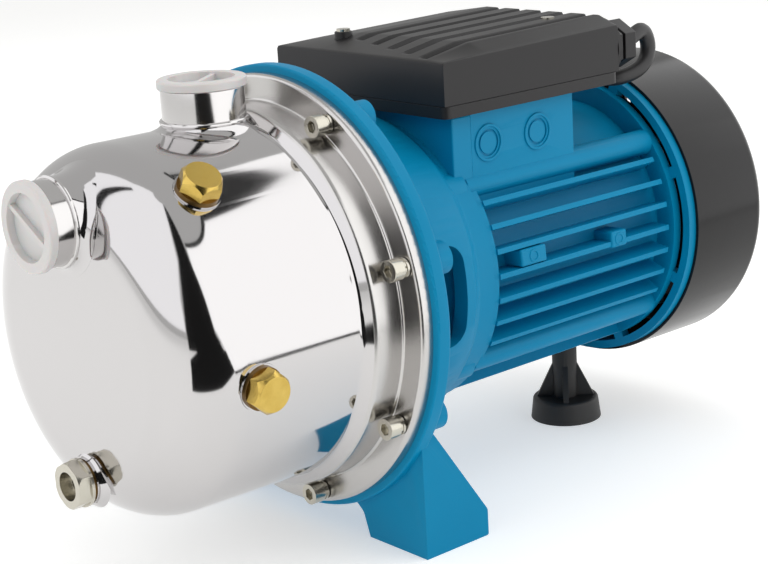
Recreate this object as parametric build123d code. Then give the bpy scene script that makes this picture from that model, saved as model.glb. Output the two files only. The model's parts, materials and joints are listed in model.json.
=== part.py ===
from build123d import *
from math import cos, pi, radians, sin, sqrt, tan
import os

os.makedirs("parts", exist_ok=True)

# A self-priming jet pump: a drawn stainless casing on an aluminium bracket, and a finned motor behind it.
# Every piece is drawn in the shaft's frame: X runs along the shaft to the motor, and x = 0 is the joint
# between casing and bracket. The written pieces stand on the floor, with the origin between the front feet.

# Driving dimensions, in millimetres and degrees
axis_height = 115.0
foot_setback = 22.0
running_gap = 0.3
fit_gap = 0.05

sheet = 1.5
casing_front = -116.3
flange_r = 103.0
flange_width = 12.5
bolt_margin = 6.2
neck_r = flange_r - flange_width
drum_r = neck_r - 5.3
dome_r = drum_r - 0.9
bolt_circle_r = flange_r - bolt_margin
dome_corner_r = 31.0
step_x = -25.0
step_run = 4.0
bolt_count = 8
bolt_phase = 29.0
bolt_r = 3.0
bolt_head_r = 5.0
bolt_head_length = 6.0
washer_r = 4.6
plain_washer = 1.2
spring_washer = 1.5

socket_r = 19.0
thread_minor_r = 15.15
thread_major_r = 16.65
cap_seat_depth = 7.0
cap_rim_r = 20.2
cap_rim = 4.2
cap_skin = 1.3
discharge_x = -38.5
discharge_top = 102.4
suction_z = 56.3
suction_front = -130.3

plug_flats = 17.0
plug_head = 7.5
plug_thread_r = 6.6
plug_thread_length = 10.0
plug_washer = 1.5
plug_washer_r = 9.6
plug_seat_gap = 0.05
boss_r = 10.5
boss_rise = 1.0
priming_x = -80.0
priming_angle = 36.0
gauge_x = -80.0
gauge_angle = 97.0
drain_z = -62.0
drain_flats = 20.0
drain_recess_r = 6.6

seal_plate_rim = 1.5
bracket_land = 2.0
disc_r = flange_r + 3.5
disc_thickness = 8.0
lantern_r = 80.0
lantern_wall = 5.0
lantern_end = 52.0
bearing_wall_start = 48.0
bearing_wall_end = 58.0
spigot_end = 68.0
spigot_r = 71.0
foot_outer_y = 87.0
foot_width = 40.0
foot_front_x = 4.0
foot_length = 39.0
foot_wall = 5.0
foot_sole = 8.0
leg_root_z = -53.0
foot_hole_r = 4.5

housing_start = 66.0
housing_end = 198.0
housing_r = 60.0
housing_wall = 5.0
fin_r = 71.0
fin_thickness = 2.6
fin_pitch = 9.7
fins_per_side = 8
first_fin = 60.0
fin_start = 73.0
tie_r = housing_r + 6.0
tie_angle = 50.0
tie_rod_r = 2.5
pad_start = 61.0
pad_end = 142.0
pad_y = 55.0
pad_top = 77.0
knockout_r = 6.5

shield_end = 206.5
shield_ring_r = 78.2
shield_ring_wall = 4.2
cover_r = 80.0
cover_wall = 1.6
cover_end = 260.7
grille_slots = 24

box_start = 51.8
box_end = 169.7
box_y = 61.0
box_floor = 78.3
box_seam = 84.0
lid_shoulder = 106.3
lid_top = 111.0
lid_wall = 2.2
lid_chamfer = 11.0

shaft_r = 7.0
bearing_bore_r = 7.5
bearing_r = 17.5
bearing_width = 11.0
rotor_seat_r = 10.0
rotor_r = 32.7
stator_bore_r = 33.0
stack_start = 95.0
stack_length = 70.0
diffuser_r = drum_r - 13.2
impeller_r = diffuser_r - 14.0
impeller_back = -18.0
impeller_width = 7.0
vane_count = 6
fan_r = 64.0
fan_blades = 8

cord_r = 4.0
gland_y = -47.0
gland_z = 95.0
gland_collar = 3.0
gland_collar_r = 14.4
gland_flats = 21.5
rear_foot_x = 188.0
rear_foot_r = 19.2
rear_foot_base = 12.0
rear_column_r = 6.8
rear_stud_r = 3.0
rear_stud_cover = 20.5
rear_boss_z = -(housing_r + 12.0)
rear_boss_depth = 12.0

home = Pos(-foot_setback, 0, axis_height)
floor_z = -axis_height
low = (Align.CENTER, Align.CENTER, Align.MIN)


def keep(name, *solids):
    """Writes one sub-part, moved from the shaft's frame to the floor's."""
    shape = solids[0] if len(solids) == 1 else Compound(children=list(solids))
    export_step(home * shape, f"parts/{name}.step")


def outline(*points):
    """A flat face; a point's third number rounds its corner."""
    radii = [point[2] if len(point) == 3 else 0 for point in points]
    flat = [(point[0], point[1]) for point in points]
    return make_face(FilletPolyline(*flat, radius=radii, close=True))


def slab(thickness, *points):
    """A straight plate of the given outline, standing on its own plane."""
    return extrude(outline(*points), amount=thickness, dir=(0, 0, 1))


def turned(*points):
    """A solid of revolution about the shaft's axis, from (x, radius) points."""
    return revolve(Plane.XZ * outline(*points), axis=Axis.X, revolution_arc=360)


def ring(start, end, outer, inner):
    return turned((start, inner), (end, inner), (end, outer), (start, outer))


def rod(start, end, radius):
    """A round bar about the shaft's axis."""
    return Pos(start, 0, 0) * Rot(0, 90, 0) * Cylinder(radius, end - start, align=low)


def around(angle):
    """Turns a piece about the shaft, from the top towards the near side."""
    return Rot(angle, 0, 0)


def polar(radius, angle, x=0.0):
    return around(angle) * Pos(x, 0, radius)


def hexagon(flats, length):
    return extrude(RegularPolygon(flats / 2, 6, major_radius=False), amount=length)


def pipe(outer, inner, low_z, high_z):
    """An upright tube about Z."""
    wall = Cylinder(outer, high_z - low_z, align=low) - Cylinder(inner, high_z - low_z, align=low)
    return Pos(0, 0, low_z) * wall


def bolt_angles():
    return [bolt_phase + i * 360 / bolt_count for i in range(bolt_count)]


def tie_angles():
    return [tie_angle, 180 - tie_angle, 180 + tie_angle, 360 - tie_angle]


# Stations that several pieces share
flange_back = -sheet - seal_plate_rim - bracket_land
flange_front = flange_back - sheet
seal_plate_back = -bracket_land
seal_plate_front = seal_plate_back - seal_plate_rim
front_bearing_x = bearing_wall_start
rear_bearing_x = housing_end - 6.0
discharge_place = Pos(discharge_x, 0, discharge_top)
suction_place = Pos(suction_front, 0, suction_z) * Rot(0, -90, 0)
priming_place = polar(dome_r + boss_rise, priming_angle, priming_x)
gauge_place = polar(dome_r + boss_rise, gauge_angle, gauge_x)
drain_drop = dome_corner_r - sqrt(dome_corner_r**2 - (-drain_z - dome_r + dome_corner_r)**2)
drain_seat = casing_front + drain_drop - 3.5
drain_place = Pos(drain_seat, 0, drain_z) * Rot(0, -90, 0)
boss_depth = 7.0


def casing_outer():
    """The outside of the drum and dome, solid, to trim what is welded to it."""
    return turned((casing_front, 0), (casing_front, dome_r, dome_corner_r),
                  (step_x, drum_r), (step_x + step_run, neck_r), (flange_front, neck_r), (flange_front, 0))


def pump_casing():
    """One drawn shell: dome, drum, step, neck and a flange whose rim is rolled over the bracket."""
    inner_shift = sheet * 0.5
    shell = turned(
        (casing_front, 0),
        (casing_front, dome_r, dome_corner_r),
        (step_x, drum_r, 3.0),
        (step_x + step_run, neck_r, 3.0),
        (flange_front, neck_r, 1.4),
        (flange_front, flange_r, 1.8),
        (0, flange_r),
        (0, flange_r - sheet),
        (flange_back, flange_r - sheet, 0.3),
        (flange_back, neck_r - sheet, 2.9),
        (step_x + step_run + inner_shift, neck_r - sheet, 1.5),
        (step_x + inner_shift, drum_r - sheet, 4.5),
        (casing_front + sheet, dome_r - sheet, dome_corner_r - sheet),
        (casing_front + sheet, 0),
    )
    hole = socket_r + fit_gap
    shell -= discharge_place * Pos(0, 0, -40) * Cylinder(hole, 60, align=low)
    shell -= suction_place * Pos(0, 0, -40) * Cylinder(hole, 60, align=low)
    for place in (priming_place, gauge_place, drain_place):
        shell -= place * Cylinder(boss_r + fit_gap, 30)
    for angle in bolt_angles():
        shell -= polar(bolt_circle_r, angle) * rod(flange_front - 1, 1, bolt_r + running_gap)
    return shell


def socket(depth, neck_length, neck_spread, place):
    """A welded pipe socket. Its mouth is bored for the cap, and the thread starts behind that."""
    body = pipe(socket_r, thread_minor_r, -depth, 0)
    body -= Pos(0, 0, -cap_seat_depth) * Cylinder(thread_major_r, cap_seat_depth + 1, align=low)
    neck = Cone(socket_r + neck_spread, socket_r + 0.4, neck_length, align=low)
    neck -= Cylinder(socket_r - 1, neck_length, align=low)
    weld = place * Pos(0, 0, -depth) * neck - casing_outer()
    return place * body + weld


def suction_socket():
    return socket(25.0, 13.5, 4.0, suction_place)


def discharge_socket():
    return socket(23.0, 7.5, 3.0, discharge_place)


def port_cap():
    """A pushed-in plastic cap: a rim over the socket's face, a cup in its mouth and a web to grip."""
    seat_r = thread_major_r - running_gap
    depth = cap_seat_depth - 0.5
    rim = fillet(Cylinder(cap_rim_r, cap_rim, align=low).edges().sort_by(Axis.Z)[-1], 1.2)
    cap = rim + Pos(0, 0, -depth) * Cylinder(seat_r, depth, align=low)
    cup_r = seat_r - cap_skin
    cap -= Pos(0, 0, -depth + cap_skin) * Cylinder(cup_r, depth + cap_rim, align=low)
    web_height = depth + cap_rim - cap_skin - 1.2
    web = Pos(0, 0, -depth + cap_skin) * Box(2 * cup_r + 1, 2.4, web_height, align=low)
    return cap + web


def suction_cap():
    return suction_place * Rot(0, 0, 60) * port_cap()


def discharge_cap():
    return discharge_place * Rot(0, 0, 35) * port_cap()


def threaded_boss():
    return pipe(boss_r, plug_thread_r + 0.2, -boss_depth, 0)


def plug_bosses():
    return [place * threaded_boss() for place in (priming_place, gauge_place)]


def hex_plug():
    """A brass plug with a chamfered hexagon over a turned collar."""
    head = hexagon(plug_flats, plug_head)
    crown = Cone(plug_flats * 0.72, plug_flats * 0.46, plug_head * 0.9, align=low)
    crown = Pos(0, 0, plug_head * 0.1) * crown
    head &= crown + Cylinder(plug_flats * 0.72, plug_head * 0.1 + 0.01, align=low)
    collar = Cylinder(plug_flats * 0.49, 1.2, align=low)
    stem = Pos(0, 0, -plug_thread_length) * Cylinder(plug_thread_r, plug_thread_length, align=low)
    return Pos(0, 0, plug_washer + plug_seat_gap) * (head + collar + stem)


def plug_seal():
    return pipe(plug_washer_r, plug_thread_r + running_gap, 0, plug_washer)


def drain_boss():
    """The drain's bush, welded through the lower front of the dome."""
    bush = pipe(boss_r, plug_thread_r + 0.2, -boss_depth - 4, 0)
    collar = drain_place * Pos(0, 0, -4.5) * Cone(boss_r + 3.0, boss_r + 0.6, 3.5, align=low)
    collar -= drain_place * Cylinder(boss_r - 1, 30)
    return drain_place * bush + (collar - casing_outer())


def drain_plug():
    """A hexagon with a deep wide recess, closed behind it."""
    head = hexagon(drain_flats, plug_head)
    head &= Pos(0, 0, -1) * Cone(drain_flats * 0.75, drain_flats * 0.5, plug_head + 1.6, align=low)
    flange = Cylinder(drain_flats * 0.56, 1.6, align=low)
    stem = Pos(0, 0, -plug_thread_length) * Cylinder(plug_thread_r, plug_thread_length, align=low)
    plug = head + flange + stem
    plug -= Pos(0, 0, 1.5) * Cylinder(drain_recess_r, plug_head, align=low)
    return Pos(0, 0, plug_washer + plug_seat_gap) * plug


def flange_bolts():
    """Socket-head screws that clamp casing, seal plate and bracket."""
    start = flange_front - plain_washer - spring_washer
    screw = rod(start, disc_thickness + 6, bolt_r)
    head = rod(start - bolt_head_length, start, bolt_head_r)
    socket_cut = Pos(start - bolt_head_length, 0, 0) * Rot(0, 90, 0) * hexagon(5.0, 3.0)
    screw += head - socket_cut
    return [polar(bolt_circle_r, angle) * Rot(13, 0, 0) * screw for angle in bolt_angles()]


def flange_washers():
    plain = ring(flange_front - plain_washer, flange_front, washer_r, bolt_r + 0.1)
    start = flange_front - plain_washer - spring_washer
    split = ring(start, start + spring_washer, washer_r - 0.3, bolt_r + 0.1)
    split -= Pos(start, 0, washer_r) * Box(8, 0.9, washer_r)
    stack = plain + split
    return [polar(bolt_circle_r, angle) * stack for angle in bolt_angles()]


def casing_gasket():
    return ring(flange_back, seal_plate_front, bolt_circle_r - bolt_r - 0.8, neck_r - sheet)


def seal_plate():
    """The stainless cover behind the impeller, dished to hold the stationary seal."""
    seat_r = 15.0
    plate = turned(
        (seal_plate_front, flange_r - sheet - running_gap), (seal_plate_back, flange_r - sheet - running_gap),
        (seal_plate_back, 34, 2), (4.5, 26, 2), (4.5, seat_r), (3.0, seat_r), (3.0, 25, 1),
        (seal_plate_front, 33, 1),
    )
    for angle in bolt_angles():
        plate -= polar(bolt_circle_r, angle) * rod(seal_plate_front - 1, 1, bolt_r + running_gap)
    return plate


def leg(side):
    """A front leg, hollow and open behind, with a flat sole and one bolt hole."""
    back_x = foot_front_x + foot_length
    inner_y = foot_outer_y - foot_width
    block = Plane.YZ * slab(
        back_x, (foot_outer_y, floor_z), (foot_outer_y, leg_root_z), (inner_y - 22, floor_z + 26),
        (inner_y - 4, floor_z + 12, 6), (inner_y, floor_z))
    profile = slab(
        foot_outer_y, (foot_front_x, floor_z), (back_x, floor_z, 1), (back_x, floor_z + 13, 3),
        (disc_thickness, leg_root_z + 2), (foot_front_x, leg_root_z + 2))
    block &= Pos(0, foot_outer_y, 0) * (Plane.XZ * profile)
    pocket = slab(
        foot_length, (foot_outer_y - foot_wall, floor_z + foot_sole),
        (foot_outer_y - foot_wall, floor_z + 50), (inner_y + foot_wall, floor_z + 28, 3),
        (inner_y + foot_wall, floor_z + foot_sole, 2))
    pocket = Pos(foot_front_x + foot_wall, 0, 0) * (Plane.YZ * pocket)
    hole = Pos(foot_setback, (foot_outer_y + inner_y) / 2, floor_z - 1) * Cylinder(foot_hole_r, 20, align=low)
    solid = block - pocket - hole
    return solid if side > 0 else solid.mirror(Plane.XZ)


def bracket():
    """The cast bracket: disc, open lantern, bearing wall, motor spigot, bolt bosses and two legs."""
    disc = turned(
        (-bracket_land, 36), (-bracket_land, flange_r - sheet - 2), (0, flange_r - sheet - 2), (0, disc_r, 1.2),
        (disc_thickness, disc_r, 2), (disc_thickness, 36))
    lantern = turned(
        (disc_thickness - 1, lantern_r + 4), (disc_thickness + 3, lantern_r + 0.5, 3), (lantern_end, lantern_r - 4),
        (bearing_wall_end, spigot_r + 1, 3), (spigot_end, spigot_r + 1), (spigot_end, spigot_r - 5),
        (bearing_wall_end, spigot_r - 5, 2), (bearing_wall_end, bearing_r + 5, 2),
        (bearing_wall_end + 2, bearing_r + 5), (bearing_wall_end + 2, bearing_r + fit_gap),
        (bearing_wall_start, bearing_r + fit_gap), (bearing_wall_start, bearing_bore_r + 5),
        (bearing_wall_start - 3, bearing_bore_r + 5), (bearing_wall_start - 3, bearing_r + 6, 2),
        (lantern_end - 2, lantern_r - 16, 8), (lantern_end - 10, lantern_r - lantern_wall - 3, 8),
        (disc_thickness - 1, lantern_r - lantern_wall))
    body = disc + lantern
    window = Plane.XZ * slab(60, (15, -24, 9), (46, -24, 9), (46, 24, 9), (15, 24, 9))
    for angle in (90, 270):
        body -= around(angle - 90) * Pos(0, -50, 0) * window
    drip = Plane.XZ * slab(60, (16, -12, 5), (42, -12, 5), (42, 12, 5), (16, 12, 5))
    body -= around(90) * Pos(0, -50, 0) * drip
    for angle in bolt_angles():
        body += polar(bolt_circle_r, angle) * rod(disc_thickness - 2, disc_thickness + 8, 7.5)
    for angle in tie_angles():
        body += polar(tie_r, angle) * rod(lantern_end - 8, housing_start - running_gap, 8.0)
    body += leg(1)
    body += leg(-1)
    for angle in bolt_angles():
        body -= polar(bolt_circle_r, angle) * rod(-5, disc_thickness + 6.5, bolt_r + running_gap)
    for angle in tie_angles():
        body -= polar(tie_r, angle) * rod(lantern_end - 5, spigot_end + 1, tie_rod_r + fit_gap)
    return body


def housing_fins():
    """Thin radial fins, as far as the tie-rod ribs on each side, and under the belly."""
    height = fin_r - housing_r + 3
    fin = Pos(fin_start, 0, housing_r - 3) * Box(housing_end - 4 - fin_start, fin_thickness, height,
                                                 align=(Align.MIN, Align.CENTER, Align.MIN))
    side_angles = [first_fin + i * fin_pitch for i in range(fins_per_side)]
    belly_angles = [180 + i * fin_pitch for i in range(-3, 4)]
    angles = side_angles + [360 - angle for angle in side_angles] + belly_angles
    return [around(angle) * fin for angle in angles]


def motor_housing():
    """The finned body, its tie-rod ribs, the raised terminal pad and the boss for the rear foot."""
    inner_r = housing_r - housing_wall
    body = ring(housing_start + 2 + running_gap, housing_end, housing_r, inner_r)
    body += ring(spigot_end + fit_gap, spigot_end + 5, spigot_r - 1, inner_r)
    for fin in housing_fins():
        body += fin
    rib = rod(spigot_end + fit_gap, housing_end, 6.5)
    web = Pos(spigot_end + fit_gap, 0, -9) * Box(housing_end - spigot_end - fit_gap, 9, 10,
                                               align=(Align.MIN, Align.CENTER, Align.MIN))
    for angle in tie_angles():
        body += polar(tie_r, angle) * (rib + web)
    pad = Pos((pad_start + pad_end) / 2 + 6, 0, 30) * Box(pad_end - pad_start - 12, 2 * pad_y, pad_top - 30, align=low)
    body += pad
    body += Pos(rear_foot_x, 0, rear_boss_z) * Cylinder(9, rear_boss_depth + 2, align=low)
    body -= rod(housing_start - 1, housing_end + 1, inner_r)
    for angle in tie_angles():
        body -= polar(tie_r, angle) * rod(housing_start, housing_end + 1, tie_rod_r + running_gap)
    recess_x = (pad_start + pad_end) / 2 + 6
    body -= Pos(recess_x, 0, housing_r + 2) * Box(pad_end - pad_start - 26, 2 * pad_y - 12, 30, align=low)
    for x in (84, 117):
        disc = Pos(x, -pad_y, 62) * Rot(90, 0, 0) * Cylinder(knockout_r, 1.6)
        body -= disc - Pos(x, -pad_y, 62) * Rot(90, 0, 0) * Cylinder(knockout_r - 1.2, 1.6)
    body -= Pos(rear_foot_x, 0, rear_boss_z - 1) * Cylinder(rear_stud_r + fit_gap, rear_boss_depth + 1, align=low)
    return body


def rear_end_shield():
    """The rear bearing plate. Webs carry its outer ring, with an air gap between."""
    ring_inner = shield_ring_r - shield_ring_wall
    body = turned(
        (housing_end, fin_r), (shield_end - 2, fin_r, 2), (shield_end - 2, bearing_r + 6, 1.5),
        (shield_end, bearing_r + 6), (shield_end, bearing_bore_r + 3), (rear_bearing_x + bearing_width, bearing_bore_r + 3),
        (rear_bearing_x + bearing_width, bearing_r + fit_gap), (rear_bearing_x, bearing_r + fit_gap),
        (rear_bearing_x, bearing_r + 5), (housing_end + 2, bearing_r + 5),
        (housing_end + 2, housing_r - housing_wall - 6), (housing_end - 4, housing_r - housing_wall - 6),
        (housing_end - 4, housing_r - housing_wall - fit_gap), (housing_end, housing_r - housing_wall - fit_gap))
    body += ring(shield_end - 5, shield_end + 6, shield_ring_r, ring_inner)
    for i in range(8):
        web = Pos(shield_end - 5, 0, fin_r - 2) * Box(5, 6, ring_inner - fin_r + 3,
                                                      align=(Align.MIN, Align.CENTER, Align.MIN))
        body += around(22.5 + 45 * i) * web
    for angle in tie_angles():
        body -= polar(tie_r, angle) * rod(housing_end - 1, shield_end + 1, tie_rod_r + running_gap)
    return body


def tie_rods():
    rod_shape = rod(lantern_end - 4, shield_end, tie_rod_r)
    rod_shape += Pos(shield_end - 2, 0, 0) * Rot(0, 90, 0) * hexagon(8.0, 4.0)
    return [polar(tie_r, angle) * rod_shape for angle in tie_angles()]


def fan_cover():
    """A deep pressed cup with a rolled rear edge and a ring of radial slots in its end."""
    cover = turned(
        (shield_end, cover_r), (cover_end, cover_r, 6), (cover_end, 0), (cover_end - cover_wall, 0),
        (cover_end - cover_wall, cover_r - cover_wall, 6 - cover_wall), (shield_end, cover_r - cover_wall))
    slot = Pos(cover_end, 0, 43) * Rot(0, 90, 0) * extrude(SlotOverall(42, 3.4), amount=8, both=True)
    for i in range(grille_slots):
        cover -= around(i * 360 / grille_slots) * slot
    return cover


def terminal_gasket():
    """The flat seal between pad and box."""
    x = (pad_start + pad_end) / 2 + 6
    sheet_outline = Rectangle(pad_end - pad_start - 12, 2 * pad_y)
    sheet_opening = Rectangle(pad_end - pad_start - 26, 2 * pad_y - 12)
    return Pos(x, 0, pad_top) * extrude(sheet_outline - sheet_opening, amount=box_floor - pad_top)


def terminal_base():
    """The lower half of the terminal box, open over the pad, with a seat for the gland."""
    width = box_end - box_start
    x = (box_start + box_end) / 2
    tray = extrude(Rectangle(width, 2 * box_y), amount=box_seam - box_floor)
    tray = fillet(tray.edges().filter_by(Axis.Z), 4)
    hollow = extrude(Rectangle(width - 6, 2 * box_y - 6), amount=10)
    opening = Rectangle(pad_end - pad_start - 26, 2 * pad_y - 12)
    tray -= Pos(0, 0, 2.5) * hollow
    tray = Pos(x, 0, box_floor) * tray
    return tray - Pos((pad_start + pad_end) / 2 + 6, 0, box_floor - 1) * extrude(opening, amount=8)


def terminal_lid():
    """The domed lid: straight sides, a wide chamfer and long round-ended grooves on top."""
    width = box_end - box_start
    x = (box_start + box_end) / 2
    shoulder = lid_shoulder - box_seam

    def body(inset):
        lower = Rectangle(width - 2 * inset, 2 * box_y - 2 * inset)
        lower = fillet(lower.vertices(), 4 - inset)
        sides = extrude(lower, amount=shoulder - inset)
        top = Rectangle(width - 2 * lid_chamfer, 2 * box_y - 2 * lid_chamfer)
        slope = loft([Pos(0, 0, shoulder - inset) * lower, Pos(0, 0, lid_top - box_seam - inset) * top])
        return sides + slope
    lid = body(0) - Pos(0, 0, -0.01) * body(lid_wall)
    groove = extrude(SlotOverall(86, 8), amount=3)
    for i in range(5):
        lid -= Pos(0, (i - 2) * 16.5, lid_top - box_seam - 1.2) * groove
    for sx in (-1, 1):
        for sy in (-1, 1):
            post = Pos(sx * (width / 2 - 22), sy * (box_y - 5), 0) * Cylinder(4, lid_top, align=low)
            lid += post & body(0)
    lid -= Pos(width / 2, gland_y, gland_z - box_seam) * Rot(0, 90, 0) * Cylinder(6.2, 12)
    return Pos(x, 0, box_seam) * lid


def lid_screws():
    x = (box_start + box_end) / 2
    screws = []
    for side in (-1, 1):
        head = Cylinder(3.4, 2.0, align=low)
        place = Pos(x + side * 38.5, -side * 33.0, lid_top - 1.2)
        screws.append(place * head)
    return screws


def terminal_block():
    block = Pos(0, 0, 0) * Box(52, 20, 13, align=low)
    for i in range(4):
        block -= Pos(-18 + i * 12, 0, 5) * Box(7, 12, 9, align=low)
    return Pos((pad_start + pad_end) / 2 + 6, -24, housing_r + 2) * block


def capacitor():
    can = turned((82, 0), (82, 15, 2), (133, 15, 1), (133, 0))
    return Pos(0, 24, housing_r + 2 + 15.4) * can


def gland_body():
    collar = rod(0, gland_collar, gland_collar_r)
    hex_part = Pos(gland_collar, 0, 0) * Rot(0, 90, 0) * hexagon(gland_flats, 4)
    body = collar + hex_part + rod(-lid_wall - 8, 0, 6.0) + rod(gland_collar + 4, 9, 8.5)
    body -= rod(-20, 20, cord_r + running_gap)
    return Pos(box_end, gland_y, gland_z) * body


def gland_nut():
    nut = Pos(9, 0, 0) * Rot(0, 90, 0) * hexagon(gland_flats, 8)
    nut += turned((17, 0), (17, 9.6), (21, 7.0, 1.5), (21, 0))
    nut -= rod(0, 30, cord_r + running_gap)
    return Pos(box_end, gland_y, gland_z) * nut


def shaft():
    front_end = impeller_back - impeller_width - 16
    return turned(
        (front_end, 0), (front_end, 5), (impeller_back - impeller_width - 4, 5),
        (impeller_back - impeller_width - 4, shaft_r), (front_bearing_x - 3, shaft_r),
        (front_bearing_x - 3, bearing_bore_r), (front_bearing_x + bearing_width, bearing_bore_r),
        (front_bearing_x + bearing_width, rotor_seat_r), (rear_bearing_x, rotor_seat_r),
        (rear_bearing_x, bearing_bore_r), (rear_bearing_x + bearing_width + 1, bearing_bore_r),
        (rear_bearing_x + bearing_width + 1, 6), (cover_end - 12, 6, 1), (cover_end - 12, 0))


def water_slinger():
    return turned((15, shaft_r + fit_gap), (15, 19, 1), (17, 19, 1), (17.5, 12, 2), (21, 10, 1), (21, shaft_r + fit_gap))


def fan_clip():
    start = shield_end + 34 + fit_gap
    return ring(start, start + 1.2, 9, 6 + fit_gap)


def impeller_nut():
    """The nut on the shaft's front end, against the impeller's hub."""
    start = impeller_back - impeller_width - 4
    nut = Pos(start - 8, 0, 0) * Rot(0, 90, 0) * hexagon(16, 8 - fit_gap)
    return nut - rod(start - 10, start + 1, 5 + fit_gap)


def rotor_end_rings():
    front = ring(stack_start - 9, stack_start, rotor_r - 2, rotor_r - 14)
    return front, Pos(stack_length + 9, 0, 0) * front


def stator_windings():
    """The two wound overhangs, one at each end of the stack."""
    start = stack_start - 17
    head = turned((start, 37, 4), (stack_start, 37), (stack_start, 51), (start, 51, 6))
    end = stack_start + stack_length
    tail = turned((end, 37), (end + 17, 37, 4), (end + 17, 51, 6), (end, 51))
    return Rot(7, 0, 0) * head, Rot(7, 0, 0) * tail


def bearing_rings(start):
    """Outer ring with its rubber shields, and inner ring."""
    outer = turned(
        (start, bearing_r), (start + bearing_width, bearing_r), (start + bearing_width, bearing_r - 2.2),
        (start + bearing_width - 1, bearing_r - 2.2), (start + bearing_width - 1, 10.1),
        (start + bearing_width - 2, 10.1), (start + bearing_width - 2, bearing_r - 2.6),
        (start + 2, bearing_r - 2.6), (start + 2, 10.1), (start + 1, 10.1), (start + 1, bearing_r - 2.2),
        (start, bearing_r - 2.2))
    inner = ring(start, start + bearing_width, 9.8, bearing_bore_r)
    return outer, inner


def impeller():
    """A closed impeller: hub, two shrouds and backward-curved vanes between them."""
    back = impeller_back
    front = back - impeller_width - 4
    hub = ring(front, back, 11.0, shaft_r)
    back_shroud = ring(back - 2, back, impeller_r, 10.5)
    front_shroud = turned(
        (front + 1.5, impeller_r), (front, impeller_r), (front - 1.5, 24, 4), (front - 7, 22), (front - 7, 20),
        (front + 0.2, 22, 4))
    curve = ThreePointArc((14, 0), (38, -14), (impeller_r - 0.5, -46))
    end = curve @ 1
    scale_back = (impeller_r - 0.5) / sqrt(end.X**2 + end.Y**2)
    curve = ThreePointArc((14, 0), (38 * scale_back, -14 * scale_back), (end.X * scale_back, end.Y * scale_back))
    blade = trace(curve, line_width=2.2)
    blade = Plane.YZ * extrude(blade, amount=impeller_width + 2.5)
    blade = Pos(front + 0.9, 0, 0) * blade
    wheel = hub + back_shroud + front_shroud
    for i in range(vane_count):
        wheel += around(i * 360 / vane_count) * blade
    return wheel


def diffuser():
    """The plastic diffuser: a cup round the impeller with fixed guide vanes."""
    front = impeller_back - impeller_width - 14
    back = seal_plate_front - running_gap
    cup = turned(
        (front, 28), (front, diffuser_r, 6), (back, diffuser_r), (back, diffuser_r - 3), (front + 3, diffuser_r - 3, 4),
        (front + 3, 28))
    for i in range(9):
        vane = Pos(front + 2, 0, impeller_r + 1.5) * Rot(0, 0, 20) * Box(14, 1.8, 9, align=(Align.MIN, Align.CENTER, Align.MIN))
        cup += around(i * 40) * vane
    return cup


def ejector_body():
    """Jet tube on the shaft's axis: nozzle chamber, throat and widening tail."""
    front = impeller_back - impeller_width - 14
    return turned(
        (front, 28 - running_gap), (front + 3, 28 - running_gap), (front + 3, 23.5), (front, 18),
        (front - 28, 8.5), (front - 36, 8.5), (front - 42, 13), (front - 50, 13),
        (front - 50, 16.5), (front - 42, 16.5, 3), (front - 34, 12, 4), (front - 28, 12), (front - 3, 21.5), (front - 3, 28 - running_gap))


def ejector_nozzle():
    front = impeller_back - impeller_width - 14
    return turned(
        (front - 41, 4.5), (front - 41, 6.0), (front - 48, 12.7), (front - 56, 12.7), (front - 56, 10),
        (front - 48, 10))


def seal_parts():
    """The mechanical seal: rubber cup and ceramic seat in the plate, carbon face and spring on the shaft."""
    cup = ring(-2.5, 4.5, 15.0 - fit_gap, 12.6)
    seat = ring(-3.5, 4.0, 12.5, shaft_r + 0.6)
    face = ring(-6.7, -3.7, 11.5, shaft_r + 0.1)
    spring = ring(impeller_back + 0.1, -6.8, 10.5, 8.6)
    for i in range(3):
        spring -= ring(impeller_back + 2.0 + 3.2 * i, impeller_back + 3.5 + 3.2 * i, 12, 9.3)
    return cup, seat, face, spring


def cooling_fan():
    """A plastic fan with straight radial blades on a plate."""
    start = shield_end + 8
    hub = ring(start, start + 26, 12, 6 + fit_gap)
    plate = ring(start + 4, start + 6, fan_r - 18, 11)
    wheel = hub + plate
    for i in range(fan_blades):
        blade = Pos(start + 5, 0, 11) * Box(20, 2, fan_r - 11, align=(Align.MIN, Align.CENTER, Align.MIN))
        wheel += around(i * 360 / fan_blades) * blade
    return wheel


def rear_foot():
    """A moulded rubber foot: a dished base, a column and four gussets."""
    base = Pos(0, 0, floor_z) * Cone(rear_foot_r, rear_foot_r - 1.5, rear_foot_base, align=low)
    base = fillet(base.edges().sort_by(Axis.Z)[-1], 2)
    top = rear_boss_z - running_gap
    column_low = floor_z + rear_foot_base - 1
    column = Pos(0, 0, column_low) * Cylinder(rear_column_r, top - column_low, align=low)
    foot = base + column
    gusset_top = column_low + 0.6 * (top - column_low)
    gusset = slab(3, (0, column_low), (16, column_low), (rear_column_r, gusset_top), (0, gusset_top))
    gusset = Pos(0, 1.5, 0) * (Plane.XZ * gusset)
    for i in range(4):
        foot += Rot(0, 0, 90 * i + 45) * gusset
    foot -= Pos(0, 0, floor_z + rear_stud_cover - 0.5) * Cylinder(rear_stud_r + fit_gap, axis_height, align=low)
    return Pos(rear_foot_x, 0, 0) * foot


def foot_stud():
    start = floor_z + rear_stud_cover
    end = rear_boss_z + rear_boss_depth - 0.5
    return Pos(rear_foot_x, 0, start) * Cylinder(rear_stud_r, end - start, align=low)


def cord_path(points):
    """Straight runs joined by arcs as large as the shorter run allows."""
    radii = []
    for before, here, after in zip(points, points[1:], points[2:]):
        run_in = Vector(here) - Vector(before)
        run_out = Vector(after) - Vector(here)
        turn = run_in.get_angle(run_out)
        radii.append(0.45 * min(run_in.length, run_out.length) / tan(radians(turn) / 2))
    print("cord radii", [round(radius, 1) for radius in radii])
    return FilletPolyline(*points, radius=radii)


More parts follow.
